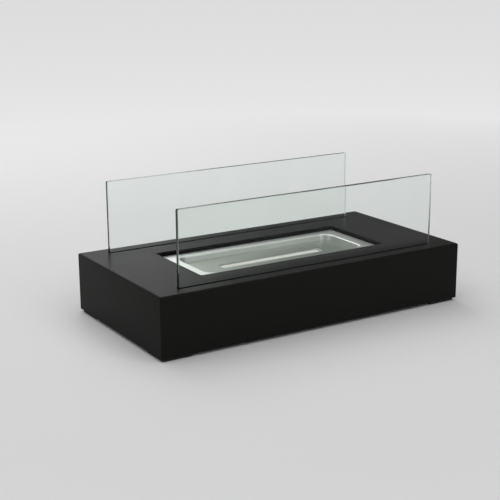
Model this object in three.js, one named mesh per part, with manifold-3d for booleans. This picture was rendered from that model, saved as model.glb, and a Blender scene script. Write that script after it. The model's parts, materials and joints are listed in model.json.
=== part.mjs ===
// Tabletop bioethanol fireplace: a folded sheet-steel box with a lift-out stainless burner in a well
// in its top, and two glass panels that stand in slots on either side of the burner.
// Millimetres, +Z up, X along the long side, the front faces -Y. The origin is the middle of the
// footprint, on the surface that the feet stand on.

import * as THREE from "three";
import { mergeVertices } from "three/addons/utils/BufferGeometryUtils.js";
import Module from "manifold-3d";

const wasm = await Module();
wasm.setup();

// Casing: top and four walls folded from one sheet, the corners welded and ground.
const casingLength = 350;
const casingWidth = 180;
const casingHeight = 59;
const casingSheet = 1.5;
const casingBendRadius = 1.8;
const casingCornerRadius = 1;
const casingInsideRadius = 0.5;

// Well in the top: the border of sheet left at the ends and along the sides.
const wellEndBorder = 66;
const wellSideBorder = 44;
const wellCornerRadius = 0.8;

// Burner frame: a Z-section ring welded under the top, whose ledge carries the burner.
const frameSheet = 1.2;
const frameWeldFlange = 5;
const frameLedge = 7;

// Burner pan: one deep-drawn pressing, from the flange by a shallow dish and a shoulder to the tank.
const panSheet = 1;
const panDrop = 4;
const panGap = 1.75;
const panCornerRadius = 1.5;
const panEndFlange = 14;
const panSideFlange = 11.5;
const panBendRadius = 1.6;
const dishDepth = 6;
const dishCornerRadius = 11;
const dishDraft = 1.2;
const shoulderWidth = 4;
const shoulderRadius = 0.8;
const tankAirGap = 10;
const tankCornerRadius = 8;
const tankFloorRadius = 3;

// Burner lid: the plate on the pan's shoulder, with the flame slot and its turned-down lip.
const lidSheet = 1;
const lidGap = 0.3;
const slotEndMargin = 33.5;
const slotWidth = 11;
const slotCornerRadius = 1.5;
const slotLipRadius = 1.3;
const slotLipHeight = 2.2;

// Ceramic wool: fills the tank, and swells into the slot.
const woolGap = 0.3;
const woolDrop = 0.4;
const woolRecess = 1;
const woolEdgeRadius = 1;

// Glass panels: tempered, with ground edges and rounded corners.
const glassThickness = 4;
const glassRise = 74;
const glassInsert = 11;
const glassEndInset = 27;
const glassSideInset = 16.5;
const glassTopRadius = 1.5;
const glassFootRadius = 1;
const glassBevel = 0.4;
const glassSlotGap = 0.5;

// Glass rails: a hat section under each slot, lined with a silicone U strip.
const linerWall = 1;
const linerGap = 0.3;
const linerEndSetback = 2;
const channelSheet = 1.2;
const channelGap = 0.3;
const channelWeldFlange = 5;

// Base plate: closes the casing, flush with the bottom edges of the walls.
const basePlateSheet = 1.2;
const basePlateGap = 0.3;
const basePlateCornerRadius = 1.5;

// Base fixing: angle tabs on the long walls, each with a weld nut and a pan-head screw.
const bracketSheet = 1.5;
const bracketWidth = 24;
const bracketReach = 16;
const bracketHeight = 12;
const bracketBendRadius = 2;
const bracketEndInset = 60;
const screwRadius = 2;
const screwHeadRadius = 3.8;
const screwHeadHeight = 2.2;
const screwHeadDome = 0.8;
const screwTipChamfer = 0.5;
const screwTipStandout = 1;
const screwHoleGap = 0.3;
const screwSocketRadius = 1.2;
const screwSocketDepth = 1.2;
const nutAcrossFlats = 7;
const nutHeight = 3.2;

// Feet: square elastomer pads at the corners.
const footSize = 32;
const footHeight = 3;
const footInset = 2;
const footCornerRadius = 2.5;
const footEdgeRadius = 0.6;

// Fineness of the round stretches.
const cornerSteps = 8;
const bendSteps = 4;
const roundSegments = 24;

// Colours of the finishes.
const blackCoat = { color: 0x1d1d1c, roughness: 0.42, metalness: 0.0 };
const blackRail = { color: 0x171717, roughness: 0.5, metalness: 0.0 };
const stainless = { color: 0xc3c7c2, roughness: 0.28, metalness: 1.0 };
const clearGlass = { color: 0xdce8e2, roughness: 0.03, metalness: 0.0, transparent: true, opacity: 0.3 };
const silicone = { color: 0x2b2b2b, roughness: 0.75, metalness: 0.0 };
const wool = { color: 0xf1efe8, roughness: 0.95, metalness: 0.0 };
const zinc = { color: 0xaeb0b0, roughness: 0.35, metalness: 1.0 };
const elastomer = { color: 0x121212, roughness: 0.85, metalness: 0.0 };

// Levels and places that several pieces share.
const floorLevel = footHeight;
const topLevel = footHeight + casingHeight;
const topUnderside = topLevel - casingSheet;
const insideHalfLength = casingLength / 2 - casingSheet;
const insideHalfWidth = casingWidth / 2 - casingSheet;
const wellHalfLength = casingLength / 2 - wellEndBorder;
const wellHalfWidth = casingWidth / 2 - wellSideBorder;
const panHalfLength = wellHalfLength - panGap;
const panHalfWidth = wellHalfWidth - panGap;
const panTop = topLevel - panDrop;
const ledgeTop = panTop - panSheet;
const dishHalfLength = panHalfLength - panEndFlange;
const dishHalfWidth = panHalfWidth - panSideFlange;
const lidTop = panTop - dishDepth;
const shoulderLevel = lidTop - lidSheet;
const lidInset = dishDraft + shoulderRadius + lidGap;
const slotHalfLength = dishHalfLength - slotEndMargin;
const slotHalfWidth = slotWidth / 2;
const slotLipBottom = lidTop - slotLipHeight;
const basePlateTop = floorLevel + basePlateSheet;
const tankFloor = basePlateTop + tankAirGap + panSheet;
const tankHalfLength = dishHalfLength - dishDraft - shoulderWidth;
const tankHalfWidth = dishHalfWidth - dishDraft - shoulderWidth;
const glassHalfLength = casingLength / 2 - glassEndInset;
const glassOffset = casingWidth / 2 - glassSideInset;
const glassBottom = topLevel - glassInsert;
const linerHalfGroove = glassThickness / 2 + linerGap;
const linerHalfWidth = linerHalfGroove + linerWall;
const channelHalfGroove = linerHalfWidth + channelGap;
const bracketOffset = casingLength / 2 - bracketEndInset;
const screwOffset = insideHalfWidth - bracketReach / 2;
const footOffsetX = casingLength / 2 - footInset - footSize / 2;
const footOffsetY = casingWidth / 2 - footInset - footSize / 2;

// Geometry helpers.

// The same number of points on every ring, so that any two can be joined.
function ring(halfLength, halfWidth, cornerRadius, z) {
  const points = [];
  for (let corner = 0; corner < 4; corner++) {
    const centreX = (halfLength - cornerRadius) * (corner === 0 || corner === 3 ? 1 : -1);
    const centreY = (halfWidth - cornerRadius) * (corner < 2 ? 1 : -1);
    for (let step = 0; step <= cornerSteps; step++) {
      const angle = ((corner + step / cornerSteps) * Math.PI) / 2;
      const x = centreX + cornerRadius * Math.cos(angle);
      const y = centreY + cornerRadius * Math.sin(angle);
      points.push(new THREE.Vector3(x, y, z));
    }
  }
  return points;
}

function signedVolume(positions, indices) {
  const [a, b, c] = [new THREE.Vector3(), new THREE.Vector3(), new THREE.Vector3()];
  let volume = 0;
  for (let i = 0; i < indices.length; i += 3) {
    a.fromArray(positions, 3 * indices[i]);
    b.fromArray(positions, 3 * indices[i + 1]);
    c.fromArray(positions, 3 * indices[i + 2]);
    volume += a.dot(b.cross(c)) / 6;
  }
  return volume;
}

// A closed mesh from points and triangles, turned so that its faces point out.
function closedGeometry(points, indices) {
  const positions = points.flatMap((point) => point.toArray());
  if (signedVolume(positions, indices) < 0) indices.reverse();
  const geometry = new THREE.BufferGeometry();
  geometry.setAttribute("position", new THREE.Float32BufferAttribute(positions, 3));
  geometry.setIndex(indices);
  geometry.computeVertexNormals();
  return geometry;
}

function wallBetween(lower, upper, ringSize) {
  const triangles = [];
  for (let i = 0; i < ringSize; i++) {
    const next = (i + 1) % ringSize;
    triangles.push(lower + i, lower + next, upper + next);
    triangles.push(lower + i, upper + next, upper + i);
  }
  return triangles;
}

// A solid through a row of rings, closed by a flat cap at each end.
function loft(rings) {
  const size = rings[0].length;
  const indices = [];
  for (let k = 0; k + 1 < rings.length; k++) {
    indices.push(...wallBetween(k * size, (k + 1) * size, size));
  }
  const last = (rings.length - 1) * size;
  for (let i = 1; i + 1 < size; i++) {
    indices.push(0, i + 1, i);
    indices.push(last, last + i, last + i + 1);
  }
  return closedGeometry(rings.flat(), indices);
}

// A solid whose section closes on itself, such as a sheet with a hole in its middle.
function loopLoft(rings) {
  const size = rings[0].length;
  const indices = [];
  for (let k = 0; k < rings.length; k++) {
    const next = (k + 1) % rings.length;
    indices.push(...wallBetween(k * size, next * size, size));
  }
  return closedGeometry(rings.flat(), indices);
}

// Points of a quarter bend: along runs 0 to 1 across it, up runs 1 to 0 down it.
function quarterBend(steps) {
  return Array.from({ length: steps + 1 }, (unused, step) => {
    const angle = (step / steps) * (Math.PI / 2);
    return { along: Math.sin(angle), up: Math.cos(angle) };
  });
}

function toSolid(geometry) {
  const bare = geometry.clone();
  bare.deleteAttribute("normal");
  bare.deleteAttribute("uv");
  const merged = mergeVertices(bare, 1e-4);
  const vertProperties = new Float32Array(merged.attributes.position.array);
  const triVerts = new Uint32Array(merged.index.array);
  return new wasm.Manifold(new wasm.Mesh({ numProp: 3, vertProperties, triVerts }));
}

function toGeometry(solid) {
  const mesh = solid.getMesh();
  const geometry = new THREE.BufferGeometry();
  geometry.setAttribute("position", new THREE.BufferAttribute(mesh.vertProperties, 3));
  geometry.setIndex(new THREE.BufferAttribute(mesh.triVerts, 1));
  geometry.computeVertexNormals();
  return geometry;
}

function cut(geometry, ...cutters) {
  const result = cutters.reduce((left, cutter) => left.subtract(toSolid(cutter)), toSolid(geometry));
  return toGeometry(result);
}

// An arc of the shape gets twice as many steps as curveSegments says.
function extruded(shape, depth, curveSegments = roundSegments / 2) {
  return new THREE.ExtrudeGeometry(shape, { depth, bevelEnabled: false, curveSegments });
}

// A section drawn in (y, z), extruded along X about the middle.
function extrudedAlongX(shape, length) {
  const bar = extruded(shape, length, bendSteps / 2).translate(0, 0, -length / 2);
  return bar.rotateZ(Math.PI / 2).rotateY(Math.PI / 2);
}

function uprightCylinder(radius, bottom, top) {
  const cylinder = new THREE.CylinderGeometry(radius, radius, top - bottom, roundSegments);
  return cylinder.rotateX(Math.PI / 2).translate(0, 0, (bottom + top) / 2);
}

function polygon(points) {
  return new THREE.Shape(points.map(([x, y]) => new THREE.Vector2(x, y)));
}

const fireplace = new THREE.Group();

function addPiece(name, geometry, finish, parent = fireplace) {
  const mesh = new THREE.Mesh(geometry, new THREE.MeshStandardMaterial(finish));
  mesh.name = name;
  parent.add(mesh);
  return mesh;
}

// Housing: the folded sheet, with the well and the two glass slots cut through its top.
function housingGeometry() {
  const halfLength = casingLength / 2;
  const halfWidth = casingWidth / 2;
  const rings = [ring(halfLength, halfWidth, casingCornerRadius, floorLevel)];
  for (const bend of quarterBend(bendSteps)) {
    const inset = casingBendRadius * (1 - bend.up);
    const z = topLevel - casingBendRadius * (1 - bend.along);
    rings.push(ring(halfLength - inset, halfWidth - inset, casingCornerRadius, z));
  }
  rings.push(ring(wellHalfLength, wellHalfWidth, wellCornerRadius, topLevel));
  rings.push(ring(wellHalfLength, wellHalfWidth, wellCornerRadius, topUnderside));
  rings.push(ring(insideHalfLength, insideHalfWidth, casingInsideRadius, topUnderside));
  rings.push(ring(insideHalfLength, insideHalfWidth, casingInsideRadius, floorLevel));
  return cut(loopLoft(rings), glassSlotCutter(1), glassSlotCutter(-1));
}

function glassSlotCutter(side) {
  const halfLength = glassHalfLength + glassSlotGap;
  const halfWidth = glassThickness / 2 + glassSlotGap;
  const bottom = topUnderside - casingSheet;
  const top = topLevel + casingSheet;
  const cutter = loft([
    ring(halfLength, halfWidth, glassSlotGap, bottom),
    ring(halfLength, halfWidth, glassSlotGap, top),
  ]);
  return cutter.translate(0, side * glassOffset, 0);
}

// Burner frame: weld flange under the top, wall flush with the well's edge, and the ledge.
function burnerFrameGeometry() {
  const outer = (grow, z) => ring(wellHalfLength + grow, wellHalfWidth + grow, wellCornerRadius + grow, z);
  const ledge = (z) => ring(wellHalfLength - frameLedge, wellHalfWidth - frameLedge, wellCornerRadius, z);
  return loopLoft([
    outer(0, topUnderside),
    outer(frameSheet + frameWeldFlange, topUnderside),
    outer(frameSheet + frameWeldFlange, topUnderside - frameSheet),
    outer(frameSheet, topUnderside - frameSheet),
    outer(frameSheet, ledgeTop - frameSheet),
    ledge(ledgeTop - frameSheet),
    ledge(ledgeTop),
    outer(0, ledgeTop),
  ]);
}

// Rings of the burner, by how far they lie outside the dish's rim, the tank's inside or the slot.
function dishRing(outset, z) {
  return ring(dishHalfLength + outset, dishHalfWidth + outset, dishCornerRadius + outset, z);
}

function tankRing(outset, z) {
  return ring(tankHalfLength + outset, tankHalfWidth + outset, tankCornerRadius + outset, z);
}

function slotRing(outset, z) {
  return ring(slotHalfLength + outset, slotHalfWidth + outset, slotCornerRadius + outset, z);
}

// A bend from a level sheet over its edge and down, on the upper skin at depth 0 or a skin below it.
function bendDown(ringAt, radius, level, depth) {
  const bent = radius - depth;
  return quarterBend(bendSteps).map(({ along, up }) =>
    ringAt(radius - bent * along, level - depth - bent * (1 - up)),
  );
}

// A bend from a wall, which ends at the given outset, round to a level floor.
function bendLevel(ringAt, outset, radius, level, depth) {
  const bent = radius + depth;
  return quarterBend(bendSteps).map(({ along, up }) =>
    ringAt(outset - radius + bent * up, level - depth + bent * (1 - along)),
  );
}

// Burner pan: flange, rounded rim, drawn dish wall, shoulder for the lid, and the tank.
function burnerPanGeometry() {
  const skin = (depth) => [
    ring(panHalfLength, panHalfWidth, panCornerRadius, panTop - depth),
    ...bendDown(dishRing, panBendRadius, panTop, depth),
    ...bendLevel(dishRing, -dishDraft, shoulderRadius, shoulderLevel, depth),
    ...bendDown(tankRing, panBendRadius, shoulderLevel, depth),
    ...bendLevel(tankRing, 0, tankFloorRadius, tankFloor, depth),
  ];
  return loft([...skin(0).reverse(), ...skin(panSheet)]);
}

// Burner lid: flat plate, its slot lip turned down into the tank.
function burnerLidGeometry() {
  const skin = (depth) => [
    dishRing(-lidInset, lidTop - depth),
    ...bendDown(slotRing, slotLipRadius, lidTop, depth),
    slotRing(depth, slotLipBottom),
  ];
  return loopLoft([...skin(0), ...skin(lidSheet).reverse()]);
}

// Ceramic wool: fills the tank to just under the slot's lip, and swells into the slot inside the lip.
function ceramicWoolGeometry() {
  const bottom = tankFloor + woolGap;
  const shoulder = slotLipBottom - woolDrop;
  const top = lidTop - woolRecess;
  return loft([
    tankRing(-woolGap - tankFloorRadius, bottom),
    tankRing(-woolGap, bottom + tankFloorRadius),
    tankRing(-woolGap, shoulder - woolEdgeRadius),
    tankRing(-woolGap - woolEdgeRadius, shoulder),
    slotRing(-woolGap, shoulder),
    slotRing(-woolGap, top - woolGap),
    slotRing(-2 * woolGap, top),
  ]);
}

// Glass panel: drawn from the front, then stood up across the depth of the fireplace.
function glassGeometry() {
  const half = glassHalfLength;
  const height = glassInsert + glassRise;
  const quarter = Math.PI / 2;
  const shape = new THREE.Shape();
  shape.absarc(half - glassFootRadius, glassFootRadius, glassFootRadius, -quarter, 0, false);
  shape.absarc(half - glassTopRadius, height - glassTopRadius, glassTopRadius, 0, quarter, false);
  shape.absarc(glassTopRadius - half, height - glassTopRadius, glassTopRadius, quarter, 2 * quarter, false);
  shape.absarc(glassFootRadius - half, glassFootRadius, glassFootRadius, 2 * quarter, 3 * quarter, false);
  const pane = new THREE.ExtrudeGeometry(shape, {
    depth: glassThickness - 2 * glassBevel,
    curveSegments: cornerSteps / 2,
    bevelSegments: 1,
    bevelThickness: glassBevel,
    bevelSize: glassBevel,
    bevelOffset: -glassBevel,
  });
  return pane.translate(0, 0, glassBevel - glassThickness / 2).rotateX(quarter);
}

// Glass liner: a U strip, open at its ends; its own datum is the foot of the glass.
function glassLinerGeometry() {
  const rim = topUnderside - linerGap - glassBottom;
  const section = polygon([
    [-linerHalfWidth, -linerWall],
    [linerHalfWidth, -linerWall],
    [linerHalfWidth, rim],
    [linerHalfGroove, rim],
    [linerHalfGroove, 0],
    [-linerHalfGroove, 0],
    [-linerHalfGroove, rim],
    [-linerHalfWidth, rim],
  ]);
  return extrudedAlongX(section, 2 * (glassHalfLength - linerEndSetback));
}

// Glass channel: a hat section welded under the top; its own datum is the foot of the glass.
function glassChannelGeometry() {
  const rim = topUnderside - glassBottom;
  const side = channelHalfGroove + channelSheet;
  const brim = side + channelWeldFlange;
  const half = [
    [brim, rim],
    [brim, rim - channelSheet],
    [side, rim - channelSheet],
    [side, -linerWall - channelSheet],
  ];
  const groove = [
    [-channelHalfGroove, rim],
    [-channelHalfGroove, -linerWall],
    [channelHalfGroove, -linerWall],
    [channelHalfGroove, rim],
  ];
  const mirrored = half.map(([y, z]) => [-y, z]).reverse();
  return extrudedAlongX(polygon([...half, ...mirrored, ...groove]), 2 * (glassHalfLength + glassSlotGap));
}

// Base plate: flat sheet with a hole for each screw.
function basePlateGeometry() {
  const halfLength = insideHalfLength - basePlateGap;
  const halfWidth = insideHalfWidth - basePlateGap;
  const outline = ring(halfLength, halfWidth, basePlateCornerRadius, 0);
  const shape = polygon(outline.map((point) => [point.x, point.y]));
  for (const [x, y] of screwPlaces()) {
    const hole = new THREE.Path();
    hole.absarc(x, y, screwRadius + screwHoleGap, 0, 2 * Math.PI, true);
    shape.holes.push(hole);
  }
  return extruded(shape, basePlateSheet);
}

function screwPlaces() {
  const signs = [
    [-1, -1],
    [1, -1],
    [-1, 1],
    [1, 1],
  ];
  return signs.map(([x, y]) => [x * bracketOffset, y * screwOffset]);
}

// Base bracket: an angle with a rounded bend, drawn in (y, z). Its datum is the foot of the wall it
// is welded to, and it reaches along +Y.
function baseBracketGeometry() {
  const inner = bracketBendRadius - bracketSheet;
  const section = new THREE.Shape();
  section.moveTo(bracketReach, 0);
  section.lineTo(bracketReach, bracketSheet);
  section.absarc(bracketBendRadius, bracketBendRadius, inner, -Math.PI / 2, Math.PI, true);
  section.lineTo(bracketSheet, bracketHeight);
  section.lineTo(0, bracketHeight);
  section.absarc(bracketBendRadius, bracketBendRadius, bracketBendRadius, Math.PI, 1.5 * Math.PI, false);
  const hole = uprightCylinder(screwRadius + screwHoleGap, -bracketSheet, 2 * bracketSheet);
  return cut(extrudedAlongX(section, bracketWidth), hole.translate(0, bracketReach / 2, 0));
}

function weldNutGeometry() {
  const hexagon = new THREE.Shape();
  const cornerRadius = nutAcrossFlats / 2 / Math.cos(Math.PI / 6);
  for (let corner = 0; corner < 6; corner++) {
    const angle = (corner * Math.PI) / 3;
    const point = [cornerRadius * Math.cos(angle), cornerRadius * Math.sin(angle)];
    if (corner === 0) hexagon.moveTo(...point);
    else hexagon.lineTo(...point);
  }
  hexagon.closePath();
  const bore = new THREE.Path();
  bore.absarc(0, 0, screwRadius + screwHoleGap, 0, 2 * Math.PI, true);
  hexagon.holes.push(bore);
  return extruded(hexagon, nutHeight);
}

// Base screw: a pan head with a hexagon socket. Its datum is the face under the head.
function baseScrewGeometry() {
  const tip = basePlateSheet + bracketSheet + nutHeight + screwTipStandout;
  const profile = [
    [0, -screwHeadHeight],
    [screwHeadRadius - screwHeadDome, -screwHeadHeight],
    [screwHeadRadius, screwHeadDome - screwHeadHeight],
    [screwHeadRadius, 0],
    [screwRadius, 0],
    [screwRadius, tip - screwTipChamfer],
    [screwRadius - screwTipChamfer, tip],
    [0, tip],
  ];
  const body = new THREE.LatheGeometry(
    profile.map(([radius, z]) => new THREE.Vector2(radius, z)),
    roundSegments,
  ).rotateX(Math.PI / 2);
  const socket = new THREE.CylinderGeometry(screwSocketRadius, screwSocketRadius, 2 * screwSocketDepth, 6);
  return cut(body, socket.rotateX(Math.PI / 2).translate(0, 0, -screwHeadHeight));
}

function footGeometry() {
  const half = footSize / 2;
  return loft([
    ring(half - footEdgeRadius, half - footEdgeRadius, footCornerRadius - footEdgeRadius, 0),
    ring(half, half, footCornerRadius, footEdgeRadius),
    ring(half, half, footCornerRadius, footHeight),
  ]);
}

// Assembly: the casing and its base.
addPiece("housing", housingGeometry(), blackCoat);
addPiece("burner_frame", burnerFrameGeometry(), blackRail);
addPiece("base_plate", basePlateGeometry(), blackRail).position.z = floorLevel;

const corners = [
  { name: "front_left", x: -1, y: -1 },
  { name: "front_right", x: 1, y: -1 },
  { name: "rear_left", x: -1, y: 1 },
  { name: "rear_right", x: 1, y: 1 },
];

for (const { name, x, y } of corners) {
  const fixing = new THREE.Group();
  fixing.position.set(x * bracketOffset, y * insideHalfWidth, basePlateTop);
  fixing.rotation.z = y > 0 ? Math.PI : 0;
  fireplace.add(fixing);
  addPiece("base_bracket_" + name, baseBracketGeometry(), blackRail, fixing);

  const fastener = new THREE.Group();
  fastener.position.set(x * bracketOffset, y * screwOffset, 0);
  fireplace.add(fastener);
  addPiece("weld_nut_" + name, weldNutGeometry(), zinc, fastener).position.z = basePlateTop + bracketSheet;
  addPiece("base_screw_" + name, baseScrewGeometry(), zinc, fastener).position.z = floorLevel;

  const foot = addPiece("foot_" + name, footGeometry(), elastomer);
  foot.position.set(x * footOffsetX, y * footOffsetY, 0);
}

// Assembly: the lift-out burner.
addPiece("burner_pan", burnerPanGeometry(), stainless);
addPiece("burner_lid", burnerLidGeometry(), stainless);
addPiece("ceramic_wool", ceramicWoolGeometry(), wool);

// Assembly: the two glass panels with their rails.
for (const { name, side } of [
  { name: "front", side: -1 },
  { name: "rear", side: 1 },
]) {
  const rail = new THREE.Group();
  rail.position.set(0, side * glassOffset, glassBottom);
  fireplace.add(rail);
  addPiece(name + "_glass", glassGeometry(), clearGlass, rail);
  addPiece(name + "_glass_liner", glassLinerGeometry(), silicone, rail);
  addPiece(name + "_glass_channel", glassChannelGeometry(), blackRail, rail);
}

export default fireplace;
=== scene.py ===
# Looks of a tabletop bioethanol fireplace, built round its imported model. Metres, +Z up.
import json
import math
import random

import bmesh
import bpy
from mathutils import Matrix, Vector, noise


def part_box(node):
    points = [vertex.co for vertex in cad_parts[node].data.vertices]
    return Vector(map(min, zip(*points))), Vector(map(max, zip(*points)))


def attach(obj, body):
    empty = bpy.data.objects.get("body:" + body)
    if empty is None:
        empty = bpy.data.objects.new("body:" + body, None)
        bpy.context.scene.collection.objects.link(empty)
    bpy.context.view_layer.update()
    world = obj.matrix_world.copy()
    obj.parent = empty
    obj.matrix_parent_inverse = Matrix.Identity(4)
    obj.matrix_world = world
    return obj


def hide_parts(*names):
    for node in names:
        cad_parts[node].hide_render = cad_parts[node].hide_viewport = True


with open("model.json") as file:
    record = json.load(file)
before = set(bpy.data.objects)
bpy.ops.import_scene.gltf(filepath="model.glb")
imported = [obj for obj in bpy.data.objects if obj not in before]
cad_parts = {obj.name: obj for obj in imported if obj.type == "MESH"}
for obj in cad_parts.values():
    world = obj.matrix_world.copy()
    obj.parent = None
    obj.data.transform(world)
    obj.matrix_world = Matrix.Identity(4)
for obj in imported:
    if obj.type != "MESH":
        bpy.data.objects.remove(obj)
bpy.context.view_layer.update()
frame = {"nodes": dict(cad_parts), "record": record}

MM = 0.001

# Camera: the photograph's place, direction and lens, without shift.
CAMERA_PLACE = Vector((-0.61113, -0.94393, 0.36295))
CAMERA_YAW = math.radians(31.837)
CAMERA_PITCH = math.radians(15.079)
CAMERA_ROLL = math.radians(-0.296)
CAMERA_LENS_MM = 81.39
CAMERA_SENSOR_MM = 36.0

# Casing.
CASING_SHEET = 1.5 * MM
CASING_BEND = 1.8 * MM
CASING_CORNER = 1.0 * MM
CASING_INSIDE_CORNER = 0.5 * MM
CUT_EDGE = 0.3 * MM
WELL_CORNER = 0.8 * MM
SLOT_GAP = 0.5 * MM

# Burner pan.
PAN_SHEET = 1.0 * MM
PAN_GAP = 1.75 * MM
PAN_CORNER = 1.5 * MM
PAN_END_FLANGE = 14.0 * MM
PAN_SIDE_FLANGE = 11.5 * MM
PAN_BEND = 1.6 * MM
DISH_CORNER = 11.0 * MM
DISH_DRAFT = 1.2 * MM
SHOULDER_WIDTH = 4.0 * MM
SHOULDER_BEND = 0.8 * MM
TANK_CORNER = 8.0 * MM
TANK_FLOOR_BEND = 3.0 * MM

# Burner lid.
LID_SHEET = 1.0 * MM
LID_GAP = 0.3 * MM
LID_SEAM = 0.15 * MM
LID_SLOT_MARGIN = 33.5 * MM
LID_SLOT_WIDTH = 11.0 * MM
LID_SLOT_CORNER = 1.5 * MM
LID_SLOT_BEND = 1.3 * MM

# Ceramic wool: the block, its uneven top under the slot, and the loose fibres on it. A fibre's
# shortest length is a share of the longest, and its turn is the most at each step, in radians.
WOOL_GAP = 0.3 * MM
WOOL_DROP = 0.4 * MM
WOOL_FLOOR_CUT = 3.0 * MM
WOOL_EDGE = 1.0 * MM
WOOL_PATCH_INSET = 0.35 * MM
WOOL_GRID = 0.45 * MM
WOOL_LUMP = 0.35 * MM
WOOL_LUMP_SIZE = 4.0 * MM
WOOL_FUZZ = 0.12 * MM
WOOL_FUZZ_SIZE = 0.8 * MM
FIBRE_COUNT = 500
FIBRE_LENGTH = 7.0 * MM
FIBRE_SHORTEST = 0.4
FIBRE_TURN = 0.5
FIBRE_RADIUS = 0.07 * MM
FIBRE_STEPS = 5
FIBRE_SIDES = 3
FIBRE_SEED = 7

# Glass. Its glare is the share kept of the mirror image on its faces.
GLASS_TOP_CORNER = 1.5 * MM
GLASS_FOOT_CORNER = 1.0 * MM
GLASS_ARRIS = 0.45 * MM
GLASS_FACE_ALIGNMENT = 0.99
GLASS_GLARE = 0.12

# Feet and screws.
FOOT_CORNER = 2.5 * MM
FOOT_EDGE = 0.6 * MM
SCREW_RADIUS = 2.0 * MM
SCREW_PITCH = 0.7 * MM
SCREW_THREAD_DEPTH = 0.35 * MM
SCREW_THREAD_STEPS = 6
SCREW_TIP = 0.5 * MM
SCREW_HEAD_RADIUS = 3.8 * MM
SCREW_HEAD_HEIGHT = 2.2 * MM
SCREW_HEAD_DOME = 1.4 * MM
SCREW_FACE_RADIUS = 2.4 * MM
SCREW_SOCKET_HALF_FLATS = 1.05 * MM
SCREW_SOCKET_DEPTH = 1.2 * MM
SCREW_SOCKET_EASE = 0.15 * MM

# Fineness of the round stretches.
CORNER_STEPS = 12
BEND_STEPS = 8
CUT_EDGE_STEPS = 4
ROUND_STEPS = 36
SHARP_ANGLE = math.radians(32)

# Material noise: most of its values lie between these, and roughness drifts by this much with it.
NOISE_LOW = 0.3
NOISE_HIGH = 0.7
ROUGHNESS_DRIFT = 0.03

# Floor: lit near the object, and from there passing into a backdrop of an even shade.
FLOOR_RADIUS = 14.0
FLOOR_STEPS = 96
FLOOR_SHADE = 0.80
FLOOR_LIT_RADIUS = 0.4
BACKDROP_RADIUS = 1.4

# Sky: its shade by height, and the share taken off it towards the front (-Y) and the right (+X).
HORIZON_SHADE = 0.70
LOW_SKY_SHADE = 0.36
ZENITH_SHADE = 0.16
LOW_SKY_HEIGHT = 0.22
ZENITH_HEIGHT = 0.65
FRONT_DIMMING = 0.7
FRONT_DIMMING_START = 0.5
FRONT_DIMMING_END = -1.0
RIGHT_DIMMING = 0.45
RIGHT_DIMMING_START = 0.3
RIGHT_DIMMING_END = 0.8

# Lamps, all aimed at the object.
LAMP_TARGET = Vector((0.0, 0.0, 0.05))
LAMPS = [
    {"name": "key", "place": (0.12, 1.4, 0.9), "width": 1.3, "height": 1.7, "watts": 9.5},
    {"name": "fill", "place": (0.5, -2.0, 1.3), "width": 1.8, "height": 1.6, "watts": 13.0},
    {"name": "side", "place": (-1.9, 0.3, 1.2), "width": 2.0, "height": 1.8, "watts": 5.0},
    {"name": "overhead", "place": (-0.2, -0.1, 2.0), "width": 3.8, "height": 3.8, "watts": 35.0},
]


# Mesh helpers.


def ring(half_length, half_width, corner, z, centre=(0.0, 0.0)):
    """Points of a rounded rectangle, anticlockwise as seen from above."""
    points = []
    for quarter, (side_x, side_y) in enumerate([(1, 1), (-1, 1), (-1, -1), (1, -1)]):
        corner_x = centre[0] + side_x * (half_length - corner)
        corner_y = centre[1] + side_y * (half_width - corner)
        for step in range(CORNER_STEPS + 1):
            angle = (quarter + step / CORNER_STEPS) * math.pi / 2
            x = corner_x + corner * math.cos(angle)
            y = corner_y + corner * math.sin(angle)
            points.append(Vector((x, y, z)))
    return points


def round_ring(centre, z, radius_at):
    """Points round a centre; the radius may differ with the angle."""
    points = []
    for step in range(ROUND_STEPS):
        angle = 2 * math.pi * step / ROUND_STEPS
        radius = radius_at(angle)
        x = centre.x + radius * math.cos(angle)
        y = centre.y + radius * math.sin(angle)
        points.append(Vector((x, y, z)))
    return points


def quarter_bend(steps=BEND_STEPS):
    """Sine and cosine over a quarter turn."""
    angles = [step / steps * math.pi / 2 for step in range(steps + 1)]
    return [(math.sin(angle), math.cos(angle)) for angle in angles]


def join_rings(mesh, first, second):
    size = len(first)
    for i in range(size):
        after = (i + 1) % size
        mesh.faces.new((first[i], first[after], second[after], second[i]))


def chain(mesh, rings):
    """Walls from each ring of points to the next; returns the rings as vertices."""
    made = [[mesh.verts.new(point) for point in points] for points in rings]
    for first, second in zip(made, made[1:]):
        join_rings(mesh, first, second)
    return made


def capped_chain(rings):
    mesh = bmesh.new()
    made = chain(mesh, rings)
    mesh.faces.new(made[0])
    mesh.faces.new(made[-1])
    return mesh


def looped_chain(rings):
    mesh = bmesh.new()
    made = chain(mesh, rings)
    join_rings(mesh, made[-1], made[0])
    return mesh


def fill_between(mesh, boundaries):
    """A flat face with holes: the first boundary is the outer one."""
    edges = []
    for boundary in boundaries:
        for i, vertex in enumerate(boundary):
            edges.append(mesh.edges.get((vertex, boundary[(i + 1) % len(boundary)])))
    bmesh.ops.triangle_fill(mesh, use_beauty=True, use_dissolve=False, edges=edges)


def new_data(name, mesh, materials):
    data = bpy.data.meshes.new(name)
    mesh.to_mesh(data)
    mesh.free()
    for material in materials:
        data.materials.append(material)
    return data


def new_object(name, data):
    made = bpy.data.objects.new(name, data)
    bpy.context.scene.collection.objects.link(made)
    return made


def to_piece(mesh, name, body, materials, replaced=()):
    """Turns the mesh into a smooth-shaded piece that rides on a body."""
    bmesh.ops.recalc_face_normals(mesh, faces=mesh.faces)
    data = new_data(name, mesh, materials)
    data.shade_smooth()
    data.set_sharp_from_angle(angle=SHARP_ANGLE)
    piece = new_object(name, data)
    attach(piece, body)
    if replaced:
        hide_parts(*replaced)
    return piece


# Geometry: the casing.


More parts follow.
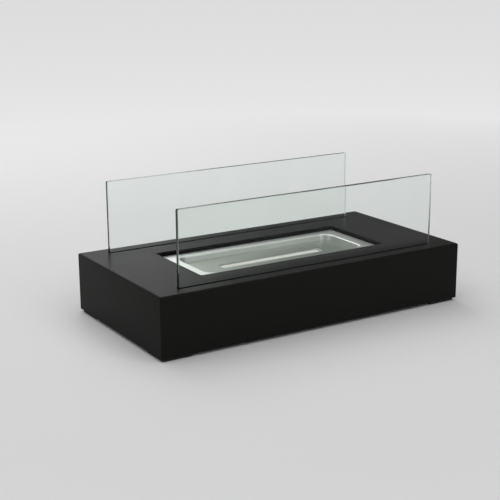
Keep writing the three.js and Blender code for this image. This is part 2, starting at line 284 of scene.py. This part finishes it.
def housing_mesh():
    """Folded casing: rounded top bend, and the well and glass slots with eased edges."""
    low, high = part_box("housing")
    top, bottom, underside = high.z, low.z, high.z - CASING_SHEET

    def outer(inset, level):
        return ring(high.x - inset, high.y - inset, CASING_CORNER, level)

    def inner(inset, level):
        inset += CASING_SHEET
        return ring(high.x - inset, high.y - inset, CASING_INSIDE_CORNER, level)

    outside = [outer(CUT_EDGE, bottom), outer(0.0, bottom + CUT_EDGE)]
    for along, up in quarter_bend():
        outside.append(outer(CASING_BEND * (1 - up), top - CASING_BEND * (1 - along)))
    outside.append(outer(CASING_BEND + CUT_EDGE, top))
    inside = [inner(CUT_EDGE, underside), inner(0.0, underside - CUT_EDGE), inner(0.0, bottom)]

    mesh = bmesh.new()
    skin = chain(mesh, outside)
    lining = chain(mesh, inside)
    join_rings(mesh, lining[-1], skin[0])
    holes = [chain(mesh, rings) for rings in top_holes(top, underside)]
    fill_between(mesh, [skin[-1]] + [hole[0] for hole in holes])
    fill_between(mesh, [lining[0]] + [hole[-1] for hole in holes])
    return mesh


def top_holes(top, underside):
    """Rings down through the well's opening and through the two glass slots."""
    pan_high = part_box("burner_pan")[1]
    openings = [(pan_high.x + PAN_GAP, pan_high.y + PAN_GAP, WELL_CORNER, (0.0, 0.0))]
    for side in ("front", "rear"):
        low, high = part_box(side + "_glass")
        half_width = (high.y - low.y) / 2 + SLOT_GAP
        centre = (0.0, (low.y + high.y) / 2)
        openings.append((high.x + SLOT_GAP, half_width, SLOT_GAP, centre))
    return [hole_rings(opening, top, underside) for opening in openings]


def hole_rings(opening, top, underside):
    half_length, half_width, corner, centre = opening

    def hole(grow, level):
        return ring(half_length + grow, half_width + grow, corner + grow, level, centre)

    rings = [hole(2 * CUT_EDGE, top)]
    for along, up in quarter_bend(CUT_EDGE_STEPS):
        rings.append(hole(CUT_EDGE * (1 - along), top - CUT_EDGE * (1 - up)))
    rings.append(hole(0.0, underside))
    return rings


# Geometry: the burner. Its rings lie at an outset from the dish's rim, the tank's inside or the
# lid's slot.


def dish_ring(outset, z):
    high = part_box("burner_pan")[1]
    half_length = high.x - PAN_END_FLANGE + outset
    half_width = high.y - PAN_SIDE_FLANGE + outset
    return ring(half_length, half_width, DISH_CORNER + outset, z)


def tank_ring(outset, z):
    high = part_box("burner_pan")[1]
    inward = DISH_DRAFT + SHOULDER_WIDTH
    half_length = high.x - PAN_END_FLANGE - inward + outset
    half_width = high.y - PAN_SIDE_FLANGE - inward + outset
    return ring(half_length, half_width, TANK_CORNER + outset, z)


def slot_half_length():
    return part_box("burner_pan")[1].x - PAN_END_FLANGE - LID_SLOT_MARGIN


def slot_ring(outset, z):
    half_width = LID_SLOT_WIDTH / 2
    return ring(slot_half_length() + outset, half_width + outset, LID_SLOT_CORNER + outset, z)


def bend_down(ring_at, radius, level, depth):
    """A level sheet over its edge and down, on the upper skin at depth 0 or on one below it."""
    bent = radius - depth
    return [
        ring_at(radius - bent * along, level - depth - bent * (1 - up))
        for along, up in quarter_bend()
    ]


def bend_level(ring_at, outset, radius, level, depth):
    """A wall, which ends at the given outset, round to a level floor."""
    bent = radius + depth
    return [
        ring_at(outset - radius + bent * up, level - depth + bent * (1 - along))
        for along, up in quarter_bend()
    ]


def burner_pan_mesh():
    """Drawn pan: flange with eased edges, dish wall, shoulder and tank."""
    low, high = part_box("burner_pan")
    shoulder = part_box("burner_lid")[1].z - LID_SHEET
    tank_floor = low.z + PAN_SHEET
    ease = CUT_EDGE

    def skin(depth):
        return [
            ring(high.x - ease, high.y - ease, PAN_CORNER - ease, high.z - depth),
            ring(high.x - 2 * ease, high.y - 2 * ease, PAN_CORNER - 2 * ease, high.z - depth),
            dish_ring(PAN_BEND + ease, high.z - depth),
            *bend_down(dish_ring, PAN_BEND, high.z, depth),
            *bend_level(dish_ring, -DISH_DRAFT, SHOULDER_BEND, shoulder, depth),
            *bend_down(tank_ring, PAN_BEND, shoulder, depth),
            *bend_level(tank_ring, 0.0, TANK_FLOOR_BEND, tank_floor, depth),
            tank_ring(-TANK_FLOOR_BEND - ease, tank_floor - depth),
        ]

    rim = [
        ring(high.x, high.y, PAN_CORNER, high.z - PAN_SHEET + ease),
        ring(high.x, high.y, PAN_CORNER, high.z - ease),
    ]
    return capped_chain(skin(PAN_SHEET)[::-1] + rim + skin(0.0))


def burner_lid_mesh():
    """Lid plate with a bevelled rim, and the flame slot, whose lip turns down into the tank."""
    low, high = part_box("burner_lid")
    inset = DISH_DRAFT + SHOULDER_BEND + LID_GAP
    bevel = inset - DISH_DRAFT - LID_SEAM

    def skin(depth):
        rim = inset - bevel * (1 - depth / LID_SHEET)
        return [
            dish_ring(-rim, high.z - depth),
            slot_ring(LID_SLOT_BEND + 2 * CUT_EDGE, high.z - depth),
            *bend_down(slot_ring, LID_SLOT_BEND, high.z, depth),
            slot_ring(depth, low.z),
        ]

    return looped_chain(skin(0.0) + skin(LID_SHEET)[::-1])


# Geometry: the ceramic wool.


def wool_height(x, y):
    """Lumps and fuzz of the wool's top under the slot, never above its level."""
    # The two are read at different heights of the noise, so that they don't follow each other.
    lump = noise.noise(Vector((x, y, 0.0)) / WOOL_LUMP_SIZE)
    fuzz = noise.noise(Vector((x, y, WOOL_LUMP_SIZE)) / WOOL_FUZZ_SIZE)
    return WOOL_LUMP * min(lump, 0.0) + WOOL_FUZZ * min(fuzz, 0.0)


def ceramic_wool_mesh():
    """Block of wool that fills the tank and swells into the slot, where its top is fibrous."""
    low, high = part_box("ceramic_wool")
    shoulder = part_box("burner_lid")[0].z - WOOL_DROP
    mesh = bmesh.new()
    rings = chain(mesh, [
        tank_ring(-WOOL_GAP - WOOL_FLOOR_CUT, low.z),
        tank_ring(-WOOL_GAP, low.z + WOOL_FLOOR_CUT),
        tank_ring(-WOOL_GAP, shoulder - WOOL_EDGE),
        tank_ring(-WOOL_GAP - WOOL_EDGE, shoulder),
        slot_ring(-WOOL_GAP, shoulder),
        slot_ring(-WOOL_GAP, high.z - WOOL_GAP),
        slot_ring(-2 * WOOL_GAP, high.z),
    ])
    mesh.faces.new(rings[0])

    inset = 2 * WOOL_GAP + WOOL_PATCH_INSET
    half_length = slot_half_length() - inset
    half_width = LID_SLOT_WIDTH / 2 - inset
    columns = round(2 * half_length / WOOL_GRID)
    rows = round(2 * half_width / WOOL_GRID)
    grid = []
    for j in range(rows + 1):
        y = half_width * (2 * j / rows - 1)
        row = []
        for i in range(columns + 1):
            x = half_length * (2 * i / columns - 1)
            border = i in (0, columns) or j in (0, rows)
            z = high.z + (0.0 if border else wool_height(x, y))
            row.append(mesh.verts.new((x, y, z)))
        grid.append(row)
    for lower, upper in zip(grid, grid[1:]):
        for i in range(columns):
            mesh.faces.new((lower[i], lower[i + 1], upper[i + 1], upper[i]))

    right = [row[-1] for row in grid[1:]]
    top = grid[-1][-2::-1]
    left = [row[0] for row in grid[-2:0:-1]]
    fill_between(mesh, [rings[-1], grid[0] + right + top + left])
    return mesh


def wool_fibres_mesh():
    """Loose fibres that lie on the wool under the slot."""
    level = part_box("ceramic_wool")[1].z
    draw = random.Random(FIBRE_SEED)
    half_length = slot_half_length() - FIBRE_LENGTH / 2
    half_width = LID_SLOT_WIDTH / 2 - FIBRE_LENGTH / 4
    mesh = bmesh.new()
    for _ in range(FIBRE_COUNT):
        x = draw.uniform(-half_length, half_length)
        y = draw.uniform(-half_width, half_width)
        point = Vector((x, y, 0.0))
        heading = draw.uniform(0.0, 2 * math.pi)
        turn = draw.uniform(-FIBRE_TURN, FIBRE_TURN)
        length = FIBRE_LENGTH * draw.uniform(FIBRE_SHORTEST, 1.0)
        rings = []
        for step in range(FIBRE_STEPS):
            across = Vector((-math.sin(heading), math.cos(heading), 0.0))
            lift = level + wool_height(point.x, point.y) + FIBRE_RADIUS
            rings.append(fibre_ring(point, lift, across))
            heading += turn
            along = Vector((math.cos(heading), math.sin(heading), 0.0))
            point = point + along * length / FIBRE_STEPS
        made = chain(mesh, rings)
        mesh.faces.new(made[0])
        mesh.faces.new(made[-1])
    return mesh


def fibre_ring(point, level, across):
    """Section of a fibre, upright across its heading."""
    points = []
    for side in range(FIBRE_SIDES):
        angle = 2 * math.pi * side / FIBRE_SIDES
        rise = Vector((0.0, 0.0, level + FIBRE_RADIUS * math.sin(angle)))
        points.append(point + across * (FIBRE_RADIUS * math.cos(angle)) + rise)
    return points


# Geometry: glass, feet and screws.


def pane_mesh(node):
    """Glass panel with rounded corners and arrised edges; edge faces use the second material."""
    low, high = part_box(node)
    corners = [
        (high.x, low.z, GLASS_FOOT_CORNER, 3),
        (high.x, high.z, GLASS_TOP_CORNER, 0),
        (low.x, high.z, GLASS_TOP_CORNER, 1),
        (low.x, low.z, GLASS_FOOT_CORNER, 2),
    ]
    middle = (low + high) / 2

    def outline(inset, y):
        points = []
        for x, z, radius, quarter in corners:
            centre_x = x - math.copysign(radius, x - middle.x)
            centre_z = z - math.copysign(radius, z - middle.z)
            for step in range(CORNER_STEPS + 1):
                angle = (quarter + step / CORNER_STEPS) * math.pi / 2
                reach = radius - inset
                point = (centre_x + reach * math.cos(angle), y, centre_z + reach * math.sin(angle))
                points.append(Vector(point))
        return points

    mesh = capped_chain([
        outline(GLASS_ARRIS, low.y),
        outline(0.0, low.y + GLASS_ARRIS),
        outline(0.0, high.y - GLASS_ARRIS),
        outline(GLASS_ARRIS, high.y),
    ])
    mesh.normal_update()
    for face in mesh.faces:
        face.material_index = 0 if abs(face.normal.y) > GLASS_FACE_ALIGNMENT else 1
    return mesh


def foot_mesh(node):
    """Square pad with rounded corners and a rolled bottom edge."""
    low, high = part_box(node)
    centre = (low + high) / 2
    half = (high.x - low.x) / 2

    def pad(inset, z):
        return ring(half - inset, half - inset, FOOT_CORNER - inset, z, (centre.x, centre.y))

    rings = [pad(FOOT_EDGE + CUT_EDGE, low.z)]
    for along, up in quarter_bend():
        rings.append(pad(FOOT_EDGE * (1 - along), low.z + FOOT_EDGE * (1 - up)))
    rings.append(pad(0.0, high.z - CUT_EDGE))
    rings.append(pad(CUT_EDGE, high.z))
    return capped_chain(rings)


def screw_mesh(node):
    """Pan-head screw, head down: hexagon socket, domed head and threaded shank."""
    low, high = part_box(node)
    centre = (low + high) / 2
    face = low.z
    seat = face + SCREW_HEAD_HEIGHT
    sixth = math.pi / 3

    def circle(radius, z):
        return round_ring(centre, z, lambda angle: radius)

    def hexagon(half_flats, z):
        return round_ring(centre, z, lambda angle: half_flats / math.cos(angle % sixth - sixth / 2))

    def thread(z):
        def radius_at(angle):
            turn = (z / SCREW_PITCH - angle / (2 * math.pi)) % 1.0
            return SCREW_RADIUS - SCREW_THREAD_DEPTH * abs(2 * turn - 1)

        return round_ring(centre, z, radius_at)

    rings = [
        hexagon(SCREW_SOCKET_HALF_FLATS, face + SCREW_SOCKET_DEPTH),
        hexagon(SCREW_SOCKET_HALF_FLATS, face + SCREW_SOCKET_EASE),
        hexagon(SCREW_SOCKET_HALF_FLATS + SCREW_SOCKET_EASE, face),
        circle(SCREW_FACE_RADIUS - CUT_EDGE, face),
    ]
    for along, up in quarter_bend():
        radius = SCREW_FACE_RADIUS + (SCREW_HEAD_RADIUS - SCREW_FACE_RADIUS) * along
        rings.append(circle(radius, face + SCREW_HEAD_DOME * (1 - up)))
    rings.append(circle(SCREW_HEAD_RADIUS, seat))
    rings.append(circle(SCREW_RADIUS, seat))
    turns = (high.z - SCREW_TIP - seat) / SCREW_PITCH
    count = math.floor(turns * SCREW_THREAD_STEPS)
    for step in range(1, count + 1):
        rings.append(thread(seat + step * SCREW_PITCH / SCREW_THREAD_STEPS))
    rings.append(circle(SCREW_RADIUS - SCREW_TIP, high.z))
    return capped_chain(rings)


# Materials.


class Graph:
    """Adds nodes to a node tree. A value that is a socket becomes a link."""

    def __init__(self, tree):
        self.tree = tree
        tree.nodes.clear()

    def add(self, kind, values=None, **settings):
        made = self.tree.nodes.new("ShaderNode" + kind)
        for name, value in settings.items():
            setattr(made, name, value)
        for name, value in (values or {}).items():
            if isinstance(value, bpy.types.NodeSocket):
                self.tree.links.new(value, made.inputs[name])
            else:
                made.inputs[name].default_value = value
        return made

    def noise(self, place, scale, detail=2.0, roughness=0.5):
        values = {"Vector": place, "Scale": scale, "Detail": detail, "Roughness": roughness}
        return self.add("TexNoise", values).outputs[0]

    def stretched(self, place, scale):
        return self.add("Mapping", {"Vector": place, "Scale": scale}).outputs["Vector"]

    def spread(self, value, low, high, into_low, into_high):
        values = {
            "Value": value,
            "From Min": low,
            "From Max": high,
            "To Min": into_low,
            "To Max": into_high,
        }
        return self.add("MapRange", values).outputs["Result"]

    def drift(self, value, middle, reach=ROUGHNESS_DRIFT):
        """A value round the middle that follows a noise."""
        return self.spread(value, NOISE_LOW, NOISE_HIGH, middle - reach, middle + reach)

    def calculate(self, operation, *values, **settings):
        numbered = dict(enumerate(values))
        return self.add("Math", numbered, operation=operation, **settings).outputs["Value"]

    def total(self, first, *others):
        """Sum of several values, held between 0 and 1."""
        for other in others:
            first = self.calculate("ADD", first, other, use_clamp=True)
        return first

    def ramp(self, value, stops):
        """Colours along a value, from a list of (position, colour)."""
        made = self.add("ValToRGB", {"Fac": value})
        elements = made.color_ramp.elements
        while len(elements) < len(stops):
            elements.new(1.0)
        for element, (position, colour) in zip(elements, stops):
            element.position = position
            element.color = (*colour, 1.0)
        return made.outputs["Color"]

    def clouded(self, value, colour, darker, lighter):
        """The colour, from darker at the low values of a noise to lighter at its high ones."""
        ends = [(NOISE_LOW, tinted(colour, darker)), (NOISE_HIGH, tinted(colour, lighter))]
        return self.ramp(value, ends)

    def bump(self, height, distance, strength=1.0, normal=None):
        values = {"Height": height, "Distance": distance, "Strength": strength}
        if normal is not None:
            values["Normal"] = normal
        return self.add("Bump", values).outputs["Normal"]

    def principled(self, values):
        return self.add("BsdfPrincipled", values).outputs["BSDF"]

    def mixed(self, share, first, second):
        """The first shader at a share of 0, the second at 1."""
        return self.add("MixShader", {0: share, 1: first, 2: second}).outputs["Shader"]

    def surface(self, shader):
        self.add("OutputMaterial", {"Surface": shader})


def new_material(name):
    """A material with an empty graph, and the place on the object in metres."""
    material = bpy.data.materials.new(name)
    material.use_nodes = True
    graph = Graph(material.node_tree)
    place = graph.add("TexCoord").outputs["Object"]
    return material, graph, place


def tinted(colour, factor):
    return tuple(channel * factor for channel in colour)


def grey(shade):
    return (shade, shade, shade)


def powder_coat(name, colour, gloss, roughness, peel):
    """Black powder coat: fine orange peel, faint clouds in its gloss and colour."""
    material, graph, place = new_material(name)
    cloud = graph.noise(place, scale=9.0, detail=3.0)
    grain = graph.noise(place, scale=1100.0, detail=2.0)
    wave = graph.noise(place, scale=330.0, detail=1.0)
    waves = graph.bump(wave, distance=peel, strength=0.5)
    graph.surface(graph.principled({
        "Base Color": graph.clouded(grain, colour, darker=0.8, lighter=1.25),
        "Roughness": graph.drift(cloud, roughness),
        "Specular IOR Level": gloss,
        "Normal": graph.bump(grain, distance=peel * 0.3, strength=0.6, normal=waves),
    }))
    return material


def stainless_steel(name, colour, roughness, grain):
    """Satin stainless steel: fine grinding streaks along X over faint clouds."""
    material, graph, place = new_material(name)
    streak = graph.noise(graph.stretched(place, (14.0, 2600.0, 2600.0)), scale=1.0, detail=3.0)
    scratch = graph.noise(graph.stretched(place, (40.0, 7000.0, 7000.0)), scale=1.0, detail=1.0)
    cloud = graph.noise(place, scale=30.0, detail=2.0)
    streaks = graph.bump(streak, distance=grain, strength=0.7)
    graph.surface(graph.principled({
        "Base Color": graph.clouded(cloud, colour, darker=0.96, lighter=1.0),
        "Metallic": 1.0,
        "Roughness": graph.drift(streak, roughness),
        "Normal": graph.bump(scratch, distance=grain * 0.5, strength=0.5, normal=streaks),
    }))
    return material


def zinc_plate(name, bluish, yellowish, roughness):
    """Zinc-plated steel, slightly blue and yellow in patches."""
    material, graph, place = new_material(name)
    patch = graph.noise(place, scale=600.0, detail=2.0)
    grain = graph.noise(place, scale=2600.0)
    graph.surface(graph.principled({
        "Base Color": graph.ramp(patch, [(0.35, bluish), (0.65, yellowish)]),
        "Metallic": 1.0,
        "Roughness": graph.drift(patch, roughness, reach=0.07),
        "Normal": graph.bump(grain, distance=0.01 * MM, strength=0.5),
    }))
    return material


def clear_glass(name, colour, roughness):
    """Glass that lets lamp light through, with an uneven tint."""
    material, graph, place = new_material(name)
    wave = graph.noise(graph.stretched(place, (25.0, 25.0, 12.0)), scale=1.0, detail=1.0)
    glass = graph.principled({
        "Base Color": graph.clouded(wave, colour, darker=0.99, lighter=1.01),
        "Transmission Weight": 1.0,
        "IOR": 1.5,
        "Specular Tint": (*grey(GLASS_GLARE), 1.0),
        "Roughness": roughness,
    })
    shadow = graph.add("BsdfTransparent", {"Color": (*colour, 1.0)}).outputs["BSDF"]
    is_shadow = graph.add("LightPath").outputs["Is Shadow Ray"]
    graph.surface(graph.mixed(is_shadow, glass, shadow))
    return material


def ceramic_fibre(name, painted_hollow_shade, colour):
    """White ceramic fibre: matt, with painted shade, darker and slightly warm, in the hollows of
    its bump.
    """
    material, graph, place = new_material(name)
    along = graph.stretched(place, (500.0, 2200.0, 900.0))
    strand = graph.noise(along, scale=1.0, detail=4.0, roughness=0.6)
    graph.surface(graph.principled({
        # Painted shade: the low values of the strand noise, which are the hollows of the bump, get
        # the darker, warmer colour.
        "Base Color": graph.ramp(strand, [(0.3, painted_hollow_shade), (0.65, colour)]),
        "Roughness": 0.95,
        "Specular IOR Level": 0.2,
        "Sheen Weight": 0.2,
        "Normal": graph.bump(strand, distance=0.12 * MM, strength=0.8),
    }))
    return material


def elastomer(name, colour, roughness):
    """Matt rubber or silicone with a fine moulded grain."""
    material, graph, place = new_material(name)
    grain = graph.noise(place, scale=1500.0, detail=3.0)
    cloud = graph.noise(place, scale=60.0)
    graph.surface(graph.principled({
        "Base Color": graph.clouded(cloud, colour, darker=0.85, lighter=1.2),
        "Roughness": graph.drift(grain, roughness, reach=0.06),
        "Specular IOR Level": 0.3,
        "Normal": graph.bump(grain, distance=0.03 * MM, strength=0.6),
    }))
    return material


# Assembly.


def dress(node, material):
    """Gives a CAD node that stays visible its finish."""
    for material_slot in frame["nodes"][node].material_slots:
        material_slot.material = material


def build_casing():
    coat_colour = (0.0118, 0.0116, 0.0108)
    coat = powder_coat("black_coat", coat_colour, gloss=0.034, roughness=0.38, peel=0.05 * MM)
    # The rail paint is darker than the casing's coat: partly the frame's own black, partly painted
    # shade so that the walls of the well read black.
    paint = powder_coat("black_rail", grey(0.005), gloss=0.04, roughness=0.6, peel=0.03 * MM)
    zinc = zinc_plate("zinc_steel", (0.52, 0.54, 0.58), (0.62, 0.60, 0.54), roughness=0.35)
    rubber = elastomer("foot_rubber", grey(0.016), roughness=0.7)
    silicone = elastomer("silicone", grey(0.03), roughness=0.6)
    to_piece(housing_mesh(), "housing_shell", "casing", [coat], ["housing"])
    for node in frame["record"]["behaviour"]["bodies"]["casing"]:
        if node.startswith("foot_"):
            name = node.replace("foot_", "pad_")
            to_piece(foot_mesh(node), name, "casing", [rubber], [node])
        elif node.startswith("base_screw_"):
            name = node.replace("base_", "")
            to_piece(screw_mesh(node), name, "casing", [zinc], [node])
        elif node.startswith("weld_nut_"):
            dress(node, zinc)
        elif node.endswith("_liner"):
            dress(node, silicone)
        else:
            dress(node, paint)


def build_burner():
    bright = stainless_steel("stainless", (0.76, 0.77, 0.75), roughness=0.38, grain=0.002 * MM)
    # Painted shade: the lid is the pan's steel given a darker colour, so that the recessed dish
    # floor looks shaded.
    shaded_steel = stainless_steel("stainless_lid", (0.36, 0.375, 0.345), roughness=0.38, grain=0.002 * MM)
    wool = ceramic_fibre("ceramic_wool", painted_hollow_shade=(0.80, 0.78, 0.73), colour=(0.93, 0.92, 0.89))
    to_piece(burner_pan_mesh(), "pan_pressing", "burner", [bright], ["burner_pan"])
    to_piece(burner_lid_mesh(), "lid_plate", "burner", [shaded_steel], ["burner_lid"])
    to_piece(ceramic_wool_mesh(), "wool_batt", "burner", [wool], ["ceramic_wool"])
    to_piece(wool_fibres_mesh(), "wool_fibres", "burner", [wool])


def build_glass():
    face = clear_glass("clear_glass", (0.93, 0.965, 0.945), roughness=0.0)
    edge = clear_glass("glass_edge", (0.62, 0.80, 0.72), roughness=0.22)
    for side in ("front", "rear"):
        node = side + "_glass"
        name = side + "_pane"
        body = side + "_panel"
        to_piece(pane_mesh(node), name, body, [face, edge], [node])


# Stage, light and camera.


def floor_paint():
    """Matt pale floor, which passes into an evenly lit backdrop far from the object."""
    material, graph, place = new_material("studio_floor")
    cloud = graph.noise(place, scale=1.5)
    shade = grey(FLOOR_SHADE)
    paint = graph.principled({
        "Base Color": graph.ramp(cloud, [(0.2, tinted(shade, 0.99)), (0.8, shade)]),
        "Roughness": 0.8,
        "Specular IOR Level": 0.1,
    })
    distance = graph.add("VectorMath", {0: place}, operation="LENGTH").outputs["Value"]
    near = graph.calculate("DIVIDE", BACKDROP_RADIUS, distance)
    fading = graph.ramp(near, [(0.0, grey(HORIZON_SHADE)), (1.0, shade)])
    backdrop = graph.add("Emission", {"Color": fading}).outputs["Emission"]
    far = graph.spread(distance, FLOOR_LIT_RADIUS, BACKDROP_RADIUS, 0.0, 1.0)
    path = graph.add("LightPath").outputs
    seen = graph.total(path["Is Camera Ray"], path["Is Glossy Ray"], path["Is Transmission Ray"])
    graph.surface(graph.mixed(graph.calculate("MULTIPLY", far, seen), paint, backdrop))
    return material


def build_floor():
    mesh = bmesh.new()
    bmesh.ops.create_circle(mesh, cap_ends=True, segments=FLOOR_STEPS, radius=FLOOR_RADIUS)
    floor = new_object("floor", new_data("floor", mesh, [floor_paint()]))


def light_world():
    """Soft surroundings, darker overhead, in front and on the right, the same for every ray."""
    world = bpy.data.worlds.new("studio")
    bpy.context.scene.world = world
    world.use_nodes = True
    graph = Graph(world.node_tree)
    direction = graph.add("TexCoord").outputs["Generated"]
    parts = graph.add("SeparateXYZ", {"Vector": direction}).outputs
    shade = graph.ramp(parts["Z"], [
        (0.0, grey(HORIZON_SHADE)),
        (LOW_SKY_HEIGHT, grey(LOW_SKY_SHADE)),
        (ZENITH_HEIGHT, grey(ZENITH_SHADE)),
    ])
    front = graph.spread(parts["Y"], FRONT_DIMMING_END, FRONT_DIMMING_START, -FRONT_DIMMING, 0.0)
    right = graph.spread(parts["X"], RIGHT_DIMMING_START, RIGHT_DIMMING_END, 0.0, -RIGHT_DIMMING)
    dimming = graph.calculate("ADD", front, right)
    above = graph.spread(parts["Z"], 0.0, LOW_SKY_HEIGHT, 0.0, 1.0)
    strength = graph.calculate("MULTIPLY_ADD", above, dimming, 1.0)
    background = graph.add("Background", {"Color": shade, "Strength": strength})
    graph.add("OutputWorld", {"Surface": background.outputs["Background"]})


def add_lamp(name, place, width, height, watts):
    light = bpy.data.lights.new(name, "AREA")
    light.shape = "RECTANGLE"
    light.size = width
    light.size_y = height
    light.energy = watts
    lamp = new_object(name, light)
    lamp.location = place
    aim = LAMP_TARGET - Vector(place)
    lamp.rotation_euler = aim.to_track_quat("-Z", "Y").to_euler()


def place_camera():
    flat = math.cos(CAMERA_PITCH)
    forward = Vector((
        math.sin(CAMERA_YAW) * flat,
        math.cos(CAMERA_YAW) * flat,
        -math.sin(CAMERA_PITCH),
    ))
    level_right = forward.cross(Vector((0.0, 0.0, 1.0))).normalized()
    level_up = level_right.cross(forward)
    right = level_right * math.cos(CAMERA_ROLL) + level_up * math.sin(CAMERA_ROLL)
    up = level_up * math.cos(CAMERA_ROLL) - level_right * math.sin(CAMERA_ROLL)
    data = bpy.data.cameras.new("camera")
    data.lens = CAMERA_LENS_MM
    data.sensor_width = CAMERA_SENSOR_MM
    camera = new_object("camera", data)
    turn = Matrix((right, up, -forward)).transposed().to_4x4()
    camera.matrix_world = Matrix.Translation(CAMERA_PLACE) @ turn
    bpy.context.scene.camera = camera


build_casing()
build_burner()
build_glass()
build_floor()
light_world()
for lamp in LAMPS:
    add_lamp(**lamp)
place_camera()
bpy.context.scene.view_settings.view_transform = "Standard"
